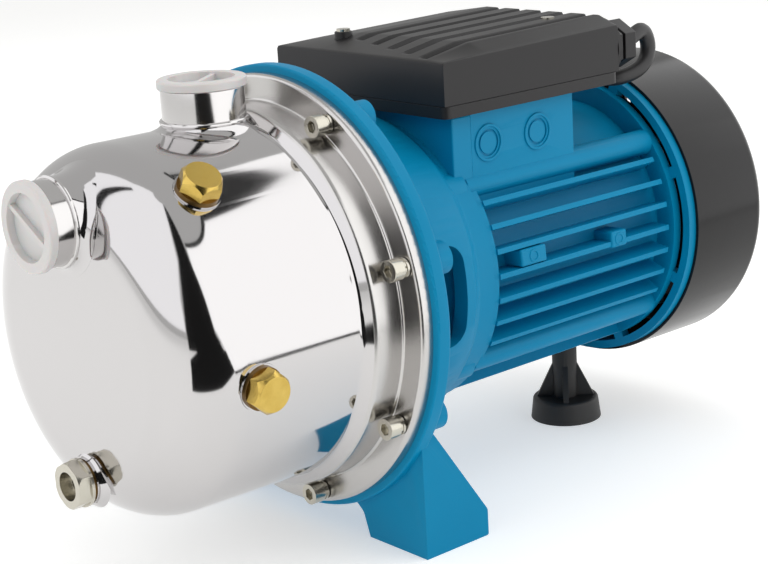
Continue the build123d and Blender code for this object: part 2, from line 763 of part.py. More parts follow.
gland_exit_x = box_end + 21.0
cord_route = [
    (gland_exit_x, gland_y, gland_z),
    (gland_exit_x + 5.6, gland_y, gland_z + 2.2),
    (gland_exit_x + 15.5, gland_y + 0.5, gland_z + 3.6),
    (gland_exit_x + 21.7, gland_y + 1, gland_z - 4.2),
    (gland_exit_x + 19.3, gland_y + 1.5, gland_z - 13.9),
    (gland_exit_x + 9.5, gland_y + 2.5, gland_z - 18.4),
    (gland_exit_x - 2, gland_y + 7, gland_z - 19.5),
    (gland_exit_x - 8, gland_y + 20, gland_z - 18),
    (gland_exit_x - 8.5, gland_y + 41, gland_z - 15),
    (gland_exit_x - 6, gland_y + 65, gland_z - 14.5),
    (gland_exit_x - 2.5, gland_y + 91, gland_z - 21),
    (gland_exit_x, gland_y + 115, gland_z - 38),
    (gland_exit_x + 1.5, gland_y + 133, gland_z - 65),
    (gland_exit_x + 1.5, gland_y + 142, gland_z - 99),
    (gland_exit_x, gland_y + 146, gland_z - 137),
    (gland_exit_x - 1.5, gland_y + 151, gland_z - 173),
    (gland_exit_x - 7, gland_y + 165, floor_z + 12),
    (gland_exit_x - 19.8, gland_y + 183, floor_z + cord_r),
    (gland_exit_x - 40, gland_y + 196, floor_z + cord_r + 0.2),
]


def power_cord():
    """The free stretch of the cord, from the gland down the far side to the floor."""
    path = cord_path(cord_route)
    section = Plane(origin=path @ 0, z_dir=path % 0) * Circle(cord_r)
    tube = sweep(section, path=path)
    print("cord length", round(path.length, 1), "volume ratio", round(tube.volume / (pi * cord_r**2 * path.length), 4))
    return tube


coil_middle_r = 44.0
coil_x = cord_route[-1][0] + coil_middle_r * sin(radians(33))
coil_y = cord_route[-1][1] + coil_middle_r * cos(radians(33))
plug_x = coil_x - coil_middle_r - 10.5
plug_y = coil_y - 10
plug_r = 18.9
pin_spacing = 19.0


def cord_coil():
    """The turns of the coiled cord, as one ring of their outer shape."""
    half = 2 * cord_r
    section = Pos(coil_middle_r, half) * RectangleRounded(2 * half, 2 * half, 3.9)
    coil = revolve(Plane.XZ * section, axis=Axis.Z, revolution_arc=360)
    return Pos(coil_x, coil_y, floor_z) * coil


def plug():
    """A moulded mains plug on its side: tapered sleeve, grip and round face."""
    body = turned((0, 0), (0, 5.2), (26, 6.8, 4), (31, 11, 3), (41, 13.5, 8), (52, plug_r, 5), (66, plug_r, 1), (66, 0))
    return plug_place() * body


def plug_pins():
    pins = [Pos(0, side * pin_spacing / 2, 0) * rod(66, 85, 2.4) for side in (-1, 1)]
    return [plug_place() * pin for pin in pins]


def plug_place():
    return Pos(plug_x, plug_y, floor_z + plug_r + 0.05) * Rot(0, 0, -90)


def write_all():
    cup, seat, face, spring = seal_parts()
    front_outer, front_inner = bearing_rings(front_bearing_x)
    rear_outer, rear_inner = bearing_rings(rear_bearing_x)
    keep("pump_casing", pump_casing())
    keep("suction_socket", suction_socket())
    keep("discharge_socket", discharge_socket())
    keep("suction_cap", suction_cap())
    keep("discharge_cap", discharge_cap())
    keep("plug_bosses", *plug_bosses())
    keep("priming_plug", priming_place * hex_plug())
    keep("priming_washer", priming_place * plug_seal())
    keep("gauge_plug", gauge_place * Rot(0, 0, 18) * hex_plug())
    keep("gauge_washer", gauge_place * plug_seal())
    keep("drain_boss", drain_boss())
    keep("drain_plug", drain_place * drain_plug())
    keep("drain_washer", drain_place * plug_seal())
    keep("flange_bolts", *flange_bolts())
    keep("flange_washers", *flange_washers())
    keep("casing_gasket", casing_gasket())
    keep("seal_plate", seal_plate())
    keep("ejector_body", ejector_body())
    keep("ejector_nozzle", ejector_nozzle())
    keep("diffuser", diffuser())
    keep("impeller", impeller())
    keep("seal_cup", cup)
    keep("seal_seat", seat)
    keep("seal_face", face)
    keep("seal_spring", spring)
    keep("bracket", bracket())
    keep("front_bearing_outer", front_outer)
    keep("front_bearing_inner", front_inner)
    keep("rear_bearing_outer", rear_outer)
    keep("rear_bearing_inner", rear_inner)
    keep("shaft", shaft())
    keep("rotor_core", ring(stack_start, stack_start + stack_length, rotor_r, rotor_seat_r + fit_gap))
    keep("stator_core", ring(stack_start, stack_start + stack_length, housing_r - housing_wall - fit_gap, stator_bore_r))
    keep("rotor_end_rings", *rotor_end_rings())
    keep("stator_windings", *stator_windings())
    keep("impeller_nut", impeller_nut())
    keep("water_slinger", water_slinger())
    keep("fan_clip", fan_clip())
    keep("terminal_gasket", terminal_gasket())
    keep("foot_stud", foot_stud())
    keep("cord_coil", cord_coil())
    keep("plug", plug())
    keep("plug_pins", *plug_pins())
    keep("motor_housing", motor_housing())
    keep("rear_end_shield", rear_end_shield())
    keep("tie_rods", *tie_rods())
    keep("cooling_fan", cooling_fan())
    keep("fan_cover", fan_cover())
    keep("terminal_base", terminal_base())
    keep("terminal_lid", terminal_lid())
    keep("lid_screws", *lid_screws())
    keep("terminal_block", terminal_block())
    keep("capacitor", capacitor())
    keep("gland_body", gland_body())
    keep("gland_nut", gland_nut())
    keep("rear_foot", rear_foot())
    keep("power_cord", power_cord())


write_all()
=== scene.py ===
"""Looks of a self-priming jet pump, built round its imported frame."""
import json
from math import atan2, cos, hypot, pi, radians, sin, sqrt, tan

import bmesh
import bpy
from mathutils import Matrix, Vector


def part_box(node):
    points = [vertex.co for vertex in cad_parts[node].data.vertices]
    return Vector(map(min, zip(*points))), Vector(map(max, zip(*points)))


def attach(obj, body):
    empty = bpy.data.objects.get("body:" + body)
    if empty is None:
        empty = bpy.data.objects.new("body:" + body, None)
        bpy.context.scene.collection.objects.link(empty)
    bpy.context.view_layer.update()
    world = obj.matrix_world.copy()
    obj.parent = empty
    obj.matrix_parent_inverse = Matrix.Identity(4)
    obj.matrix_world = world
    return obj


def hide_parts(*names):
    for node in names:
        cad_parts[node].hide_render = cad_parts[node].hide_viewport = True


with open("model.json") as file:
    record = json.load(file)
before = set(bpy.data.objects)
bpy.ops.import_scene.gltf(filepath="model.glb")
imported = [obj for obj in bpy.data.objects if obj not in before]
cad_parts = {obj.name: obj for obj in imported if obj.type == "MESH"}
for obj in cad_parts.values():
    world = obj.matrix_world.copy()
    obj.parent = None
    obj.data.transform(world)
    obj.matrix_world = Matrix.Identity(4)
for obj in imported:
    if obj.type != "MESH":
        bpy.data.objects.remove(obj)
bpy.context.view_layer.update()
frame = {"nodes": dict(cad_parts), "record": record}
nodes = frame["nodes"]
mm = 0.001

# Where the shaft's axis crosses the joint between casing and bracket, in the frame
joint_plane = Vector((-22, 0, 115)) * mm

# Sizes of the drawn casing and of what is welded to it, in millimetres from the joint plane and the shaft
casing_front = -116.3
dome_r = 84.3
drum_r = 85.2
dome_corner = 31.0
drum_end = -25.0
neck_start = -21.0
neck_r = 90.5
flange_back = -6.0
flange_r = 103.0
sheet = 1.5
discharge = Vector((-38.5, 0, 102.4))
suction = Vector((-130.3, 0, 56.3))
socket_r = 19.0
port_bore = 15.15
port_mouth = 16.65
boss_station = -80.0
boss_angles = (36.0, 97.0)
boss_seat_r = 85.3
boss_hole_r = 10.55
brushed_from = -22.0
drain = Vector((-118.5, 0, -62))

# Sizes of the terminal box's lid and of the pad it stands on, from the same point
lid_start, lid_end, lid_half = 51.8, 169.7, 61.0
lid_seam = 84.0
pad_half = 55.0
pad_root, pad_top = 44.0, 77.0
overhang_start, overhang_end = 61.0, 73.4
knockouts = (84.0, 117.0)
knockout_height = 62.0


def at(x, y, z):
    """A point given in millimetres from the shaft's joint plane."""
    return joint_plane + Vector((x, y, z)) * mm


def linear(code):
    """An sRGB hex colour as linear light."""
    channels = [int(code[i:i + 2], 16) / 255 for i in (1, 3, 5)]
    return [c / 12.92 if c <= 0.04045 else ((c + 0.055) / 1.055) ** 2.4 for c in channels] + [1.0]


def add(tree, kind, values=None, links=None, **settings):
    """Adds a node with its settings, socket values and links."""
    node = tree.nodes.new(kind)
    for name, value in settings.items():
        setattr(node, name, value)
    for name, value in (values or {}).items():
        node.inputs[name].default_value = value
    for name, source in (links or {}).items():
        tree.links.new(source, node.inputs[name])
    return node


def surface(name, code, metallic=0.0, roughness=0.4, spread=0.0, patch_mm=20.0, grain_mm=0.0, relief_mm=0.0,
            turned=False, stretch=(1, 1, 1), tint=None, **shader):
    """A finish: base colour, roughness that varies in patches, and a fine relief of a real size."""
    material = bpy.data.materials.new(name)
    material.use_nodes = True
    tree = material.node_tree
    body = tree.nodes["Principled BSDF"]
    body.inputs["Base Color"].default_value = linear(code)
    body.inputs["Metallic"].default_value = metallic
    body.inputs["Roughness"].default_value = roughness
    for socket, value in shader.items():
        body.inputs[socket.replace("_", " ")].default_value = value
    place = add(tree, "ShaderNodeTexCoord")
    source = place.outputs["UV" if turned else "Object"]
    patches = add(tree, "ShaderNodeTexNoise", {"Scale": 1000 / patch_mm, "Detail": 3.0},
                  {"Vector": place.outputs["Object"]})
    if spread:
        rough = add(tree, "ShaderNodeMapRange", {"To Min": roughness - spread, "To Max": roughness + spread},
                    {"Value": patches.outputs["Fac"]})
        tree.links.new(rough.outputs["Result"], body.inputs["Roughness"])
    if tint:
        mixed = add(tree, "ShaderNodeMix", {"A": linear(code), "B": linear(tint)},
                    {"Factor": patches.outputs["Fac"]}, data_type="RGBA")
        tree.links.new(mixed.outputs["Result"], body.inputs["Base Color"])
    if grain_mm:
        scaled = add(tree, "ShaderNodeMapping", {"Scale": stretch}, {"Vector": source})
        grain = add(tree, "ShaderNodeTexNoise", {"Scale": 1000 / grain_mm, "Detail": 2.0},
                    {"Vector": scaled.outputs["Vector"]})
        relief = add(tree, "ShaderNodeBump", {"Strength": 1.0, "Distance": relief_mm * mm},
                     {"Height": grain.outputs["Fac"]})
        tree.links.new(relief.outputs["Normal"], body.inputs["Normal"])
    return material


# Finishes

# Drawn 304 sheet, mirror polished: near-white metal with faint lines left round its axis by the wheel.
# The lines are drawn half a millimetre apart, coarser than real ones, so that they show
polished_stainless = surface("polished_stainless", "#C6C4C4", 1.0, 0.075, spread=0.02, patch_mm=30,
                             grain_mm=0.5, relief_mm=0.0012, turned=True, stretch=(0.03, 1, 1))
# The same sheet where only a belt has passed over it: softer reflections drawn out round the flange
brushed_stainless = surface("brushed_stainless", "#C6C4C2", 1.0, 0.24, spread=0.05, patch_mm=12,
                            grain_mm=0.35, relief_mm=0.004, turned=True, stretch=(0.02, 1, 1))
# Pipe sockets turned on a lathe and buffed
turned_stainless = surface("turned_stainless", "#CBC9C8", 1.0, 0.13, spread=0.03, patch_mm=10,
                           grain_mm=0.4, relief_mm=0.0015, turned=True, stretch=(0.03, 1, 1))
# Turned brass: warm yellow metal, a little dull where it has been handled
turned_brass = surface("turned_brass", "#D6BA68", 1.0, 0.24, spread=0.07, patch_mm=6, grain_mm=0.5,
                       relief_mm=0.004, tint="#BC9C48")
# Annealed copper-alloy sealing washer, brown with oxide
annealed_copper = surface("annealed_copper", "#86693C", 1.0, 0.38, spread=0.1, patch_mm=4,
                          tint="#5F4A2C")
# Zinc-plated steel: grey-white with a faint yellow cast
zinc_plate = surface("zinc_plate", "#C2BEB2", 1.0, 0.24, spread=0.08, patch_mm=5, grain_mm=0.6,
                     relief_mm=0.004)
# Moulded polyethylene: milky, soft highlights
milky_polyethylene = surface("milky_polyethylene", "#D0CECD", 0.0, 0.42, spread=0.05, patch_mm=15,
                             grain_mm=1.5, relief_mm=0.01, Subsurface_Weight=0.25, Subsurface_Scale=0.004)
# Sprayed enamel on cast aluminium: satin blue with fine orange peel
blue_enamel = surface("blue_enamel", "#0085B1", 0.0, 0.42, spread=0.05, patch_mm=25, grain_mm=2.2,
                      relief_mm=0.02, tint="#0080AB", Specular_IOR_Level=0.1)
# Moulded ABS: dark grey with a fine spark-eroded grain
grained_abs = surface("grained_abs", "#1C1B1C", 0.0, 0.4, spread=0.05, patch_mm=30, grain_mm=0.7,
                      relief_mm=0.012, Specular_IOR_Level=0.3)
# Enamelled pressed steel: deep gloss black
gloss_black_enamel = surface("gloss_black_enamel", "#141314", 0.0, 0.2, spread=0.03, patch_mm=40, grain_mm=6,
                             relief_mm=0.02, Specular_IOR_Level=0.27)
# Moulded rubber: matt, greyed
moulded_rubber = surface("moulded_rubber", "#181717", 0.0, 0.55, spread=0.08, patch_mm=12, grain_mm=0.6,
                         relief_mm=0.02)
# Extruded rubber sheath: smooth with a slight sheen
rubber_sheath = surface("rubber_sheath", "#212021", 0.0, 0.42, spread=0.05, patch_mm=10, grain_mm=0.8,
                        relief_mm=0.01)
# Nickel-plated pins
nickel_plate = surface("nickel_plate", "#D8D4CC", 1.0, 0.15, spread=0.04, patch_mm=5)
# Glass-filled noryl of the hydraulic parts: flat black
filled_noryl = surface("filled_noryl", "#2A2A2C", 0.0, 0.6, spread=0.06, patch_mm=8, grain_mm=0.5,
                       relief_mm=0.02)
# Ground alumina: cream white and smooth
ground_alumina = surface("ground_alumina", "#EAE4D8", 0.0, 0.25, spread=0.04, patch_mm=5)
# Lapped carbon: black with a dull shine
lapped_carbon = surface("lapped_carbon", "#26262A", 0.0, 0.35, spread=0.05, patch_mm=4)
# Ground steel: grey and lightly lined round its axis
ground_steel = surface("ground_steel", "#B4B4B2", 1.0, 0.22, spread=0.06, patch_mm=6, grain_mm=0.4,
                       relief_mm=0.003, stretch=(1, 0.05, 0.05))
# Stacked silicon-steel sheets: dull grey with the edges of the sheets showing
stacked_sheet = surface("stacked_sheet", "#6D6A66", 0.8, 0.5, grain_mm=0.5, relief_mm=0.05,
                        stretch=(1, 0.01, 0.01))
# Die-cast aluminium: pale and slightly rough
cast_aluminium = surface("cast_aluminium", "#C3C5C7", 1.0, 0.38, spread=0.08, patch_mm=6, grain_mm=1.0,
                         relief_mm=0.02)
# Enamelled copper wire, wound and varnished
varnished_winding = surface("varnished_winding", "#9C5A2C", 0.7, 0.35, grain_mm=0.9, relief_mm=0.2,
                            stretch=(1, 0.15, 0.15))
# Moulded polypropylene of the fan: dull black
moulded_polypropylene = surface("moulded_polypropylene", "#232323", 0.0, 0.5, spread=0.05, patch_mm=10,
                                grain_mm=0.8, relief_mm=0.02)

finishes = {
    "stainless": polished_stainless, "brass": turned_brass, "sealing_washer": annealed_copper,
    "plated_steel": zinc_plate, "white_cap": milky_polyethylene, "blue_paint": blue_enamel,
    "black_plastic": grained_abs, "black_rubber": moulded_rubber, "cord_rubber": rubber_sheath,
    "plated_pin": nickel_plate, "pump_plastic": filled_noryl, "seal_ceramic": ground_alumina,
    "seal_carbon": lapped_carbon, "machined_steel": ground_steel, "lamination": stacked_sheet,
    "bare_aluminium": cast_aluminium, "enamelled_wire": varnished_winding,
    "fan_plastic": moulded_polypropylene,
}
slot_of = {part["node"]: part["material_slot"] for part in frame["record"]["subparts"]}
body_of = {node: body for body, members in frame["record"]["behaviour"]["bodies"].items() for node in members}


def seat(piece, *replaced, body=None, finish=None, slot=None):
    """Sets a finished piece on its body in place of its nodes, with the given finish or else the one its slot
    calls for.
    """
    first = replaced[0] if replaced else None
    slot = slot or slot_of[first]
    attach(piece, body or body_of[first])
    if replaced:
        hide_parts(*replaced)
    piece.data.materials.clear()
    piece.data.materials.append(finish or finishes[slot])
    return piece


def new_piece(name, mesh):
    """An object that shows a mesh, at the origin."""
    piece = bpy.data.objects.new(name, mesh)
    bpy.context.scene.collection.objects.link(piece)
    return piece


def mesh_from(work, name, smooth_angle=35):
    """A bmesh as a mesh with faces outwards, smooth up to the given angle."""
    bmesh.ops.recalc_face_normals(work, faces=work.faces)
    mesh = bpy.data.meshes.new(name)
    work.to_mesh(mesh)
    work.free()
    mesh.polygons.foreach_set("use_smooth", [True] * len(mesh.polygons))
    mesh.set_sharp_from_angle(angle=radians(smooth_angle))
    return mesh


def baked(piece):
    """The piece with its modifiers worked into its mesh."""
    graph = bpy.context.evaluated_depsgraph_get()
    mesh = bpy.data.meshes.new_from_object(piece.evaluated_get(graph))
    piece.modifiers.clear()
    piece.data = mesh
    return piece


def dress(node, bevel_mm, smooth_angle=32, finish=None):
    """A node's own mesh with its triangles joined and its edges broken as a casting's or a moulding's are."""
    work = bmesh.new()
    work.from_mesh(nodes[node].data)
    bmesh.ops.remove_doubles(work, verts=work.verts, dist=0.002 * mm)
    bmesh.ops.dissolve_limit(work, angle_limit=radians(0.6), verts=work.verts, edges=work.edges)
    mesh = bpy.data.meshes.new(node + "_dressed")
    work.to_mesh(mesh)
    work.free()
    mesh.polygons.foreach_set("use_smooth", [True] * len(mesh.polygons))
    mesh.set_sharp_from_angle(angle=radians(smooth_angle))
    piece = new_piece(node + "_dressed", mesh)
    edge = piece.modifiers.new("broken_edges", "BEVEL")
    edge.width = bevel_mm * mm
    edge.segments = 2
    edge.limit_method = "ANGLE"
    edge.angle_limit = radians(smooth_angle)
    edge.harden_normals = True
    seat(baked(piece), node, finish=finish)


def rounded(points, steps=6):
    """Points of an open outline; a third number is the radius that rounds its corner."""
    path = []
    for i, point in enumerate(points):
        here = Vector(point[:2])
        if len(point) == 2 or i in (0, len(points) - 1):
            path.append(here)
            continue
        back = (Vector(points[i - 1][:2]) - here).normalized()
        ahead = (Vector(points[i + 1][:2]) - here).normalized()
        half = back.angle(ahead) / 2
        middle = here + (back + ahead).normalized() * (point[2] / sin(half))
        first = here + back * (point[2] / tan(half)) - middle
        last = here + ahead * (point[2] / tan(half)) - middle
        turn = first.angle_signed(last)
        for k in range(steps + 1):
            angle = -turn * k / steps
            path.append(middle + Vector((first.x * cos(angle) - first.y * sin(angle),
                                         first.x * sin(angle) + first.y * cos(angle))))
    return path


def lathe(name, path, place, turns=192, closed=True):
    """Spins (along, radius) points in millimetres about the place's own Z axis; UV runs round and along."""
    work = bmesh.new()
    along = [0.0]
    for a, b in zip(path, path[1:]):
        along.append(along[-1] + (b - a).length)
    rings = []
    for height, radius in path:
        spots = [Vector((radius * cos(2 * pi * k / turns), radius * sin(2 * pi * k / turns), height))
                 for k in range(turns)]
        rings.append([work.verts.new(place @ (spot * mm)) for spot in spots])
    layer = work.loops.layers.uv.new("turned")
    pairs = list(zip(range(len(path)), range(1, len(path))))
    if closed:
        pairs.append((len(path) - 1, 0))
    for i, j in pairs:
        for k in range(turns):
            m = (k + 1) % turns
            face = work.faces.new((rings[i][k], rings[i][m], rings[j][m], rings[j][k]))
            ends = (along[i], along[i], along[j] if j else along[-1] + 1, along[j] if j else along[-1] + 1)
            for loop, u, v in zip(face.loops, (k, k + 1, k + 1, k), ends):
                loop[layer].uv = (u / turns * 0.5, v * mm)
    bmesh.ops.remove_doubles(work, verts=work.verts, dist=0.0005 * mm)
    return new_piece(name, mesh_from(work, name, 25))


def frame_of(origin, axis):
    """A placing matrix whose Z axis points along axis."""
    turn = Vector(axis).to_track_quat("Z", "Y").to_matrix().to_4x4()
    return Matrix.Translation(origin) @ turn


def round_the_shaft():
    """A placing matrix whose Z axis runs along the shaft, toward the motor."""
    return Matrix.Translation(joint_plane) @ Matrix.Rotation(radians(90), 4, "Y")


def outward(angle):
    """The direction away from the shaft, at an angle in degrees from upright toward the near side."""
    return Vector((0, -sin(radians(angle)), cos(radians(angle))))


# Camera: the photograph's angle, solved from the flange, ports, box and feet

def make_camera():
    """Turn, rise and lean in degrees, the lens in millimetres and the place in metres."""
    turn, rise, lean = radians(-40.34), radians(15.26), radians(-3.31)
    back = Vector((sin(turn) * cos(rise), -cos(turn) * cos(rise), sin(rise)))
    level = Vector((cos(turn), sin(turn), 0))
    upright = back.cross(level)
    right = level * cos(lean) + upright * sin(lean)
    up = upright * cos(lean) - level * sin(lean)
    data = bpy.data.cameras.new("camera")
    data.lens = 85.66
    data.sensor_width = 36
    data.clip_end = 50
    camera = bpy.data.objects.new("camera", data)
    bpy.context.scene.collection.objects.link(camera)
    turned = Matrix((right, up, back)).transposed().to_4x4()
    camera.matrix_world = Matrix.Translation((-0.5270, -0.6668, 0.3431)) @ turned
    bpy.context.scene.camera = camera


make_camera()


# Power cord: a tight loop at the gland, behind the box to the far side, down to the floor and into its coil

gland_exit = Vector((190.7, -47, 95))
cord_r = 4.0
floor_level = -115.0
cord_steps = [
    (0, 0, 0), (5.6, 0, 2.2), (13.5, 0.5, 5.2), (19.0, 1, -3.2), (17.0, 1.5, -12.9), (8.5, 2.5, -17.4),
    (-2, 7, -19.5), (-8, 20, -18), (-8.5, 41, -15), (-6, 65, -14.5), (-2.5, 91, -21), (0, 115, -38),
    (1.5, 133, -65), (1.5, 142, -99), (0, 146, -137), (-1.5, 151, -173),
]
cord_route = [gland_exit + Vector(step) for step in cord_steps] + [
    Vector((gland_exit.x - 7, gland_exit.y + 165, floor_level + 12)),
    Vector((gland_exit.x - 19.8, gland_exit.y + 183, floor_level + cord_r)),
]
coil_middle_r = 44.0
coil_start = Vector((gland_exit.x - 40, gland_exit.y + 196, 0))
coil_turn = radians(33)
coil_centre = coil_start + Vector((sin(coil_turn), cos(coil_turn), 0)) * coil_middle_r


def coil_points(turns=4.2, per_turn=14):
    """The coil's turns, wound two wide and laid on each other, a diameter apart."""
    first = atan2(coil_start.y - coil_centre.y, coil_start.x - coil_centre.x)
    climb_start, climb = 1.6, 0.5
    corner_reach = 1 / cos(pi / per_turn) ** 0.5
    spots = []
    for i in range(int(turns * per_turn) + 1):
        turn = i / per_turn
        swing = min(turn % 2, 2 - turn % 2)
        outer_share = 1 - swing if turn < 2 else swing
        radius = (coil_middle_r - cord_r + 2 * cord_r * outer_share) * corner_reach
        lift = cord_r + min(max((turn - climb_start) / climb, 0), 1) * 2 * cord_r
        angle = first - 2 * pi * turn
        spots.append(coil_centre + Vector((cos(angle) * radius, sin(angle) * radius, floor_level + lift)))
    return spots


def make_cord():
    """One open curve from the gland to the end of the coil; its points' radius is the cord's own."""
    points = cord_route + coil_points()
    curve = bpy.data.curves.new("mains_cord", "CURVE")
    curve.dimensions = "3D"
    line = curve.splines.new("NURBS")
    line.points.add(len(points) - 1)
    for point, spot in zip(line.points, points):
        point.co = (*at(*spot), 1)
        point.radius = cord_r * mm
    line.order_u = 3
    line.use_endpoint_u = True
    line.resolution_u = 8
    curve.bevel_depth = 1.0
    curve.bevel_resolution = 5
    curve.use_fill_caps = True
    cord = bpy.data.objects.new("mains_cord", curve)
    bpy.context.scene.collection.objects.link(cord)
    seat(cord, "power_cord", "cord_coil")
    return cord


mains_cord = make_cord()


# Casing: the drawn shell, its flange brushed

def make_casing():
    """The outer and inner skin in one outline, spun round the shaft, with its five holes cut."""
    step_shift = 0.8
    outline = rounded([
        (casing_front, 0), (casing_front, dome_r, dome_corner), (drum_end, drum_r, 3), (neck_start, neck_r, 3),
        (flange_back, neck_r, 1.4), (flange_back, flange_r, 1.8), (0, flange_r), (0, flange_r - sheet),
        (flange_back + sheet, flange_r - sheet, 0.3), (flange_back + sheet, neck_r - sheet, 2.9),
        (neck_start + step_shift, neck_r - sheet, 1.5), (drum_end + step_shift, drum_r - sheet, 4.5),
        (casing_front + sheet, dome_r - sheet, dome_corner - sheet), (casing_front + sheet, 0)], 24)
    shell = lathe("drawn_casing", outline, round_the_shaft(), 256, closed=False)
    port_reach, boss_reach = 40, 15
    holes = [(at(*discharge), (0, 0, 1), socket_r + 0.05, port_reach),
             (at(*suction), (-1, 0, 0), socket_r + 0.05, port_reach)]
    for angle in boss_angles:
        centre = at(boss_station, 0, 0) + outward(angle) * boss_seat_r * mm
        holes.append((centre, outward(angle), boss_hole_r, boss_reach))
    holes.append((at(*drain), (-1, 0, 0), boss_hole_r, boss_reach))
    cutters = bmesh.new()
    for spot, axis, radius, reach in holes:
        bmesh.ops.create_cone(cutters, cap_ends=True, segments=64, radius1=radius * mm, radius2=radius * mm,
                              depth=2 * reach * mm, matrix=frame_of(spot, axis))
    cutter = new_piece("cutter", mesh_from(cutters, "cutter"))
    cut = shell.modifiers.new("holes", "BOOLEAN")
    cut.object = cutter
    cut.operation = "DIFFERENCE"
    cut.solver = "EXACT"
    baked(shell)
    bpy.data.objects.remove(cutter)
    shell.data.set_sharp_from_angle(angle=radians(25))
    seat(shell, "pump_casing")
    shell.data.materials.append(brushed_stainless)
    for face in shell.data.polygons:
        if face.center.x > joint_plane.x + brushed_from * mm:
            face.material_index = 1


make_casing()


def outside_casing(spot):
    """How far a point of the frame stands outside the dome or drum, in millimetres."""
    local = (spot - joint_plane) / mm
    centre = casing_front + dome_corner
    across = hypot(local.y, local.z)
    if local.x >= centre:
        return across - dome_r - (drum_r - dome_r) * (local.x - centre) / (drum_end - centre)
    if across < dome_r - dome_corner:
        return casing_front - local.x
    return hypot(across - dome_r + dome_corner, local.x - centre) - dome_corner


def make_socket(name, centre, axis, depth, bead_depth, node):
    """A pipe socket with the grooves of its inner thread, and the weld bead round it; returns its place."""
    place = frame_of(at(*centre), axis)
    pitch, groove = 2.31, 0.7
    thread_end, mouth_end, mouth_slope = -7.5, -6.8, 0.4
    profile = [(0, port_mouth), (0, socket_r, 0.6), (-depth, socket_r), (-depth, port_bore)]
    z = -depth + 0.5
    while z < thread_end:
        profile += [(z, port_bore), (z + pitch / 2, port_bore + groove)]
        z += pitch
    profile += [(mouth_end - mouth_slope, port_bore), (mouth_end, port_mouth)]
    seat(lathe(name, rounded(profile, 5), place, 96), node, finish=turned_stainless)
    bead_r, sink = 1.1, 0.35
    ring = [Vector((-bead_depth + bead_r * cos(a * pi / 6), socket_r + sink + bead_r * sin(a * pi / 6)))
            for a in range(12)]
    seat(lathe(name + "_bead", ring, place, 96), body="pump", slot="stainless", finish=turned_stainless)
    return place


def make_neck(name, place, top, foot_r, steps=10, turns=96):
    """The flare between a socket and the casing, its foot lying on the dome or drum."""
    down = (place.to_3x3() @ Vector((0, 0, -1))).normalized()
    work = bmesh.new()
    layer = work.loops.layers.uv.new("turned")
    rings = []
    for i in range(steps + 1):
        bend = i / steps * pi / 2
        radius = socket_r + 0.3 + (foot_r - socket_r) * (1 - cos(bend)) ** 1.15
        ring = []
        for k in range(turns):
            angle = 2 * pi * k / turns
            side = place @ (Vector((radius * cos(angle), radius * sin(angle), 0)) * mm)
            foot = side.copy()
            for _ in range(60):
                gap = outside_casing(foot)
                if abs(gap) < 0.01:
                    break
                foot += down * gap * mm * 0.8
            start = side + down * top * mm
            spot = start + down * (foot - start).dot(down) * sin(bend) ** 0.9
            ring.append(work.verts.new(spot - down * 0.02 * mm))
        rings.append(ring)
    for i in range(steps):
        for k in range(turns):
            m = (k + 1) % turns
            face = work.faces.new((rings[i][k], rings[i][m], rings[i + 1][m], rings[i + 1][k]))
            for loop, u, v in zip(face.loops, (k, k + 1, k + 1, k), (i, i, i + 1, i + 1)):
                loop[layer].uv = (u / turns * 0.1, v * 1.2 * mm)
    seat(new_piece(name, mesh_from(work, name, 60)), body="pump", slot="stainless")


discharge_place = make_socket("discharge_socket_pipe", discharge, (0, 0, 1), 23.0, 15.0, "discharge_socket")
make_neck("discharge_neck", discharge_place, 14.5, 26.5)
suction_place = make_socket("suction_socket_pipe", suction, (-1, 0, 0), 25.0, 9.5, "suction_socket")
make_neck("suction_neck", suction_place, 9.0, 24.5)


# Pieces whose shape is the frame's own, with broken edges

for node, bevel in {
    "suction_cap": 0.35, "discharge_cap": 0.35, "priming_plug": 0.25, "gauge_plug": 0.25, "drain_plug": 0.25,
    "flange_bolts": 0.2, "bracket": 0.6, "motor_housing": 0.5, "rear_end_shield": 0.6, "terminal_base": 0.4,
    "gland_body": 0.3, "gland_nut": 0.4, "rear_foot": 0.8,
}.items():
    dress(node, bevel)
dress("fan_cover", 0.25, finish=gloss_black_enamel)

# Nodes that nothing replaces show themselves, in their own slot's finish
for node, piece in nodes.items():
    if not piece.hide_render:
        piece.data.materials.clear()
        piece.data.materials.append(finishes[slot_of[node]])


# Terminal box lid: a front slope, a raised top that climbs to the rear, and five long grooves

groove_half, groove_wall, groove_depth = 3.1, 0.7, 2.4
grooves = [(18.0 - 15.4 * i, 69.7 - 3.6 * i) for i in range(5)]


def edge_drop(*gaps):
    """How far the skin falls in the small rounding along the lid's rim."""
    radius = 1.2
    return radius - sqrt(max(radius ** 2 - max(radius - min(gaps), 0) ** 2, 0))


def lid_height(x, y):
    """Height of the lid's skin: a crown between the slopes, less the grooves and the rim's rounding."""
    front_edge, edge_climb = 104.4, 2.6
    crown_start, crown, crown_climb = 80.0, 109.4, 2.3 / 90
    near_slope, far_slope = 12.0, 33.0
    edge = front_edge + edge_climb * (x - lid_start) / (lid_end - lid_start)
    if x > crown_start:
        rise = crown + crown_climb * (x - crown_start)
    else:
        rise = front_edge + (crown - front_edge) * (x - lid_start) / (crown_start - lid_start)
    side = min((y + lid_half) / near_slope, (lid_half - y) / far_slope, (lid_end - x) / 3.0 + 0.55, 1.0)
    height = edge + max(rise - edge, 0) * max(side, 0)
    for middle, start in grooves:
        across = abs(y - middle)
        if across < groove_half and x > start:
            height -= groove_depth * min((groove_half - across) / groove_wall, 1) * min((x - start) / 2.0, 1)
            break
    return height - edge_drop(x - lid_start, lid_end - x, y + lid_half, lid_half - y)


def stations(start, end, first, step, stop, close):
    """Places along a side of the lid, closer together at its two rounded ends."""
    middle = []
    spot = start + first
    while spot < end - stop:
        middle.append(spot)
        spot += step
    return [start + gap for gap in close] + middle + [end - gap for gap in reversed(close)]


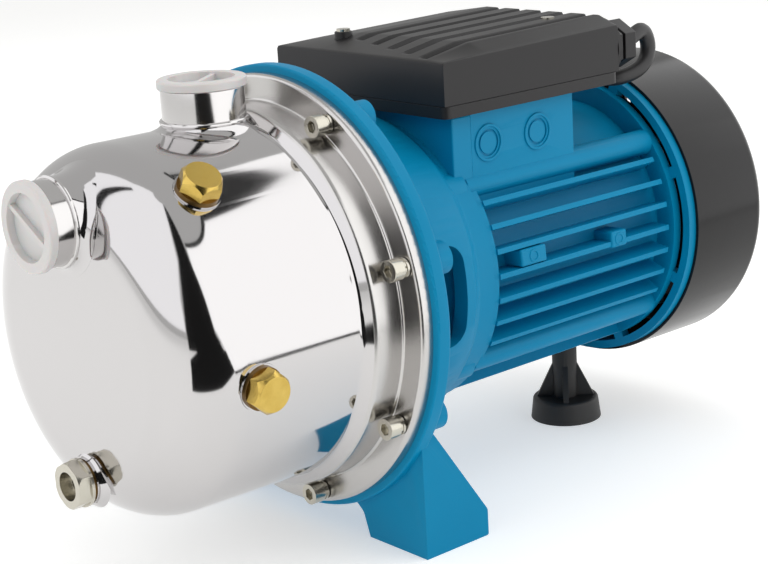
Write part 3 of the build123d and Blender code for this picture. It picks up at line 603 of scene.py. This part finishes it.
def make_lid():
    """The skin as a grid, its skirt down to the seam, and the hollow under it."""
    wall, hollow_top = 2.2, 101.5
    xs = stations(lid_start, lid_end, 2.5, 1.2, 2.0, (0, 0.4, 1.2))
    ys = stations(-lid_half, lid_half, 1.2, 0.8, 1.0, (0, 0.4))
    work = bmesh.new()
    grid = [[work.verts.new(at(x, y, lid_height(x, y))) for y in ys] for x in xs]
    for i in range(len(xs) - 1):
        for j in range(len(ys) - 1):
            work.faces.new((grid[i][j], grid[i + 1][j], grid[i + 1][j + 1], grid[i][j + 1]))
    rim = [grid[i][0] for i in range(len(xs))] + [grid[-1][j] for j in range(1, len(ys))]
    rim += [grid[i][-1] for i in range(len(xs) - 2, -1, -1)] + [grid[0][j] for j in range(len(ys) - 2, 0, -1)]
    outer = [(vert.co - joint_plane) / mm for vert in rim]
    inner = [(max(min(spot.x, lid_end - wall), lid_start + wall),
              max(min(spot.y, lid_half - wall), wall - lid_half)) for spot in outer]
    low = [work.verts.new(at(spot.x, spot.y, lid_seam + 0.25)) for spot in outer]
    lip = [work.verts.new(at(x, y, lid_seam + 0.25)) for x, y in inner]
    roof = [work.verts.new(at(x, y, hollow_top)) for x, y in inner]
    for upper, lower in ((rim, low), (low, lip), (lip, roof)):
        for k in range(len(rim)):
            m = (k + 1) % len(rim)
            work.faces.new((upper[k], upper[m], lower[m], lower[k]))
    work.faces.new(roof)
    bmesh.ops.remove_doubles(work, verts=work.verts, dist=0.001 * mm)
    seat(new_piece("grooved_lid", mesh_from(work, "grooved_lid", 28)), "terminal_lid")


make_lid()

# Round boss that carries the lid's front screw above the slope
lid_screw = (72.25, 33.0, 101.0)
boss = rounded([(0, 0.05), (0, 4.8), (9.6, 4.4, 0.5), (9.6, 0.05)], 4)
seat(lathe("lid_screw_boss", boss, frame_of(at(*lid_screw), (0, 0, 1)), 48), body="pump",
     slot="black_plastic")


# Terminal pad: its overhang toward the bracket, and the raised rims round its two knockouts

def make_pad_details():
    """A closed block with broken edges, and two rims that stand 0.7 mm proud."""
    work = bmesh.new()
    verts = [work.verts.new(at(x, y, z)) for x in (overhang_start, overhang_end)
             for y in (-pad_half, pad_half) for z in (pad_root, pad_top)]
    for face in ((0, 1, 3, 2), (4, 6, 7, 5), (0, 4, 5, 1), (2, 3, 7, 6), (0, 2, 6, 4), (1, 5, 7, 3)):
        work.faces.new([verts[i] for i in face])
    front = new_piece("pad_overhang", mesh_from(work, "pad_overhang"))
    edge = front.modifiers.new("broken_edges", "BEVEL")
    edge.width, edge.segments = 0.8 * mm, 3
    seat(baked(front), body="pump", slot="blue_paint")
    for i, x in enumerate(knockouts):
        rim = rounded([(-0.3, 7.6), (0.7, 7.6, 0.3), (0.7, 9.0, 0.3), (-0.3, 9.0)], 4)
        place = frame_of(at(x, -pad_half, knockout_height), (0, -1, 0))
        seat(lathe("knockout_rim_%d" % (i + 1), rim, place, 64), body="pump", slot="blue_paint")


make_pad_details()


# Two small blocks cast between the fins, which steady the housing when it is machined

def make_fin_blocks():
    """Each block spans two fins; its start, end and angle round the shaft come from the photograph."""
    middle_r, width, height = 65.5, 8.2, 12.6
    for i, (start, end, angle) in enumerate(((87.0, 104.0, 84.3), (150.0, 161.0, 87.5))):
        out = outward(angle)
        along = Vector((1, 0, 0))
        place = Matrix((along, out.cross(along), out)).transposed().to_4x4()
        place.translation = at((start + end) / 2, 0, 0) + out * middle_r * mm
        sized = Matrix.Diagonal(((end - start) * mm, width * mm, height * mm, 1))
        work = bmesh.new()
        bmesh.ops.create_cube(work, size=1, matrix=place @ sized)
        block = new_piece("fin_block_%d" % (i + 1), mesh_from(work, "fin_block"))
        edge = block.modifiers.new("cast_edges", "BEVEL")
        edge.width, edge.segments = 1.1 * mm, 4
        seat(baked(block), body="pump", slot="blue_paint")
        rim = rounded([(-0.2, 1.9), (0.35, 2.1, 0.1), (0.35, 3.1, 0.1), (-0.2, 3.3)], 3)
        top = frame_of(place.translation + out * height / 2 * mm, out)
        seat(lathe("fin_block_rim_%d" % (i + 1), rim, top, 32), body="pump", slot="blue_paint")


make_fin_blocks()


# Shallow floors inside the two transport caps, on each side of the web

floor_low, floor_high, floor_r = -0.8, 0.4, 15.4
for cap, centre, axis in (("suction_cap", suction, (-1, 0, 0)), ("discharge_cap", discharge, (0, 0, 1))):
    disc = [Vector(spot) for spot in ((floor_low, 0.05), (floor_low, floor_r), (floor_high, floor_r),
                                      (floor_high, 0.05))]
    seat(lathe(cap + "_floor", disc, frame_of(at(*centre), axis), 64), body=cap, slot="white_cap")


# Back plate of the fan, which closes the view through the cover from the front

def make_fan_plate():
    """A thin disc as wide as the fan, from its hub outwards, just behind its front."""
    low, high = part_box("cooling_fan")
    front = (low.x - joint_plane.x) / mm + 0.2
    back = front + 1.6
    hub_r, rim_r = 17, (high.z - low.z) / 2 / mm
    outline = [Vector(spot) for spot in ((front, hub_r), (front, rim_r), (back, rim_r), (back, hub_r))]
    seat(lathe("fan_back_plate", outline, round_the_shaft(), 96), body="rotor", slot="fan_plastic")


make_fan_plate()


# Studio: a pale floor, soft light, white reflectors for the polished steel and the dark room between them

def make_floor():
    """White paper lit from below, so that it stays pale to the horizon."""
    bpy.ops.mesh.primitive_plane_add(size=14, location=(0.5, 0.5, 0))
    floor = bpy.context.object
    floor.name = "floor"
    paper = bpy.data.materials.new("pale_paper")
    paper.use_nodes = True
    body = paper.node_tree.nodes["Principled BSDF"]
    body.inputs["Base Color"].default_value = linear("#E6E6E5")
    body.inputs["Emission Color"].default_value = linear("#FFFFFF")
    body.inputs["Emission Strength"].default_value = 0.42
    body.inputs["Roughness"].default_value = 0.9
    body.inputs["Specular IOR Level"].default_value = 0.1
    floor.data.materials.append(paper)


def glow(name, strength, warmth="#FFFFFF"):
    """A surface that only gives light, for the studio's cards."""
    material = bpy.data.materials.new(name)
    material.use_nodes = True
    tree = material.node_tree
    tree.nodes.clear()
    light = add(tree, "ShaderNodeEmission", {"Color": linear(warmth), "Strength": strength})
    add(tree, "ShaderNodeOutputMaterial", links={"Surface": light.outputs["Emission"]})
    return material


def only_mirrored(piece):
    """Keeps a studio card out of every view except what shiny surfaces mirror."""
    piece.visible_camera = False
    piece.visible_diffuse = False
    piece.visible_shadow = False
    piece.visible_transmission = False


def toward(azimuth, elevation):
    """The direction to a place round the object, in degrees."""
    side, rise = radians(azimuth), radians(elevation)
    return Vector((sin(side) * cos(rise), -cos(side) * cos(rise), sin(rise)))


def card(name, rows, reach, material, steps=12):
    """A reflector bent round the object: rows of (elevation, left azimuth, right azimuth) in degrees."""
    centre = at(-95, -50, 30)
    work = bmesh.new()
    grid = []
    for rise, left, right in rows:
        ring = []
        for k in range(steps + 1):
            ring.append(work.verts.new(centre + toward(left + (right - left) * k / steps, rise) * reach))
        grid.append(ring)
    for lower, upper in zip(grid, grid[1:]):
        for k in range(steps):
            work.faces.new((lower[k], lower[k + 1], upper[k + 1], upper[k]))
    mesh = bpy.data.meshes.new(name)
    work.to_mesh(mesh)
    work.free()
    mesh.materials.append(material)
    only_mirrored(new_piece(name, mesh))


def floor_card(name, corners, material, height=0.0006):
    """A flat card on the floor that only shiny surfaces see."""
    mesh = bpy.data.meshes.new(name)
    mesh.from_pydata([(x, y, height) for x, y in corners], [], [list(range(len(corners)))])
    mesh.materials.append(material)
    only_mirrored(new_piece(name, mesh))


def area_light(name, azimuth, elevation, distance, width, height, power):
    """A soft white light that faces the object and is mirrored by nothing."""
    data = bpy.data.lights.new(name, "AREA")
    data.shape = "RECTANGLE"
    data.size, data.size_y = width, height
    data.energy = power
    light = bpy.data.objects.new(name, data)
    bpy.context.scene.collection.objects.link(light)
    way = toward(azimuth, elevation)
    light.location = Vector((0.05, 0, 0.12)) + way * distance
    light.rotation_mode = "QUATERNION"
    light.rotation_quaternion = way.to_track_quat("Z", "Y")
    light.visible_camera = False
    light.visible_glossy = False


def make_studio():
    """Even grey surroundings, four soft lights, and the cards that the polished casing mirrors."""
    make_floor()
    world = bpy.data.worlds.new("studio")
    world.use_nodes = True
    world.node_tree.nodes["Background"].inputs["Color"].default_value = linear("#CACAC9")
    world.node_tree.nodes["Background"].inputs["Strength"].default_value = 1.05
    bpy.context.scene.world = world
    bpy.context.scene.view_settings.view_transform = "Standard"
    white = glow("softbox_white", 1.65)
    dim_white = glow("softbox_edge", 1.4, "#FDFDFF")
    black = glow("room_dark", 0.015)
    card("right_softbox", [(-6, -3, 112), (7, -15, 112), (36, -24, 112), (54, -22, 112)], 1.3, white)
    card("right_softbox_rim", [(54, -22, 125), (57, -22, 125)], 1.3, black)
    card("left_softbox", [(2, -58, -185), (18, -57, -178), (41, -48, -163), (69, -45, -152), (84, -44, -150)],
         1.3, dim_white)
    card("left_softbox_gap", [(14, -129, -133), (42, -132, -140), (67, -133, -139)], 1.25, black, 2)
    card("dark_room", [(-6.5, -57, -5), (4, -57, -15), (45, -45, -25), (65, -44, -26), (84, -44, -40)],
         1.2, black)
    floor_card("floor_dark", [(-0.33, -0.19), (-0.245, -0.25), (-0.166, -0.297), (-0.06, -0.43),
                              (-0.19, -1.42), (-1.15, -1.15), (-0.7, -0.43)], black)
    floor_card("floor_white", [(-0.06, -0.432), (1.4, -0.432), (1.4, -1.42), (-0.19, -1.42)], white)
    floor_card("floor_line", [(-0.06, -0.398), (1.4, -0.398), (1.4, -0.434), (-0.06, -0.434)], black)
    area_light("key", 35, 45, 1.5, 1.2, 1.0, 6)
    area_light("fill", -100, 35, 1.6, 1.2, 1.0, 4)
    area_light("top", 0, 88, 1.5, 1.4, 1.4, 4)
    area_light("back", 160, 40, 1.7, 1.2, 1.0, 4)


make_studio()

bpy.context.view_layer.update()
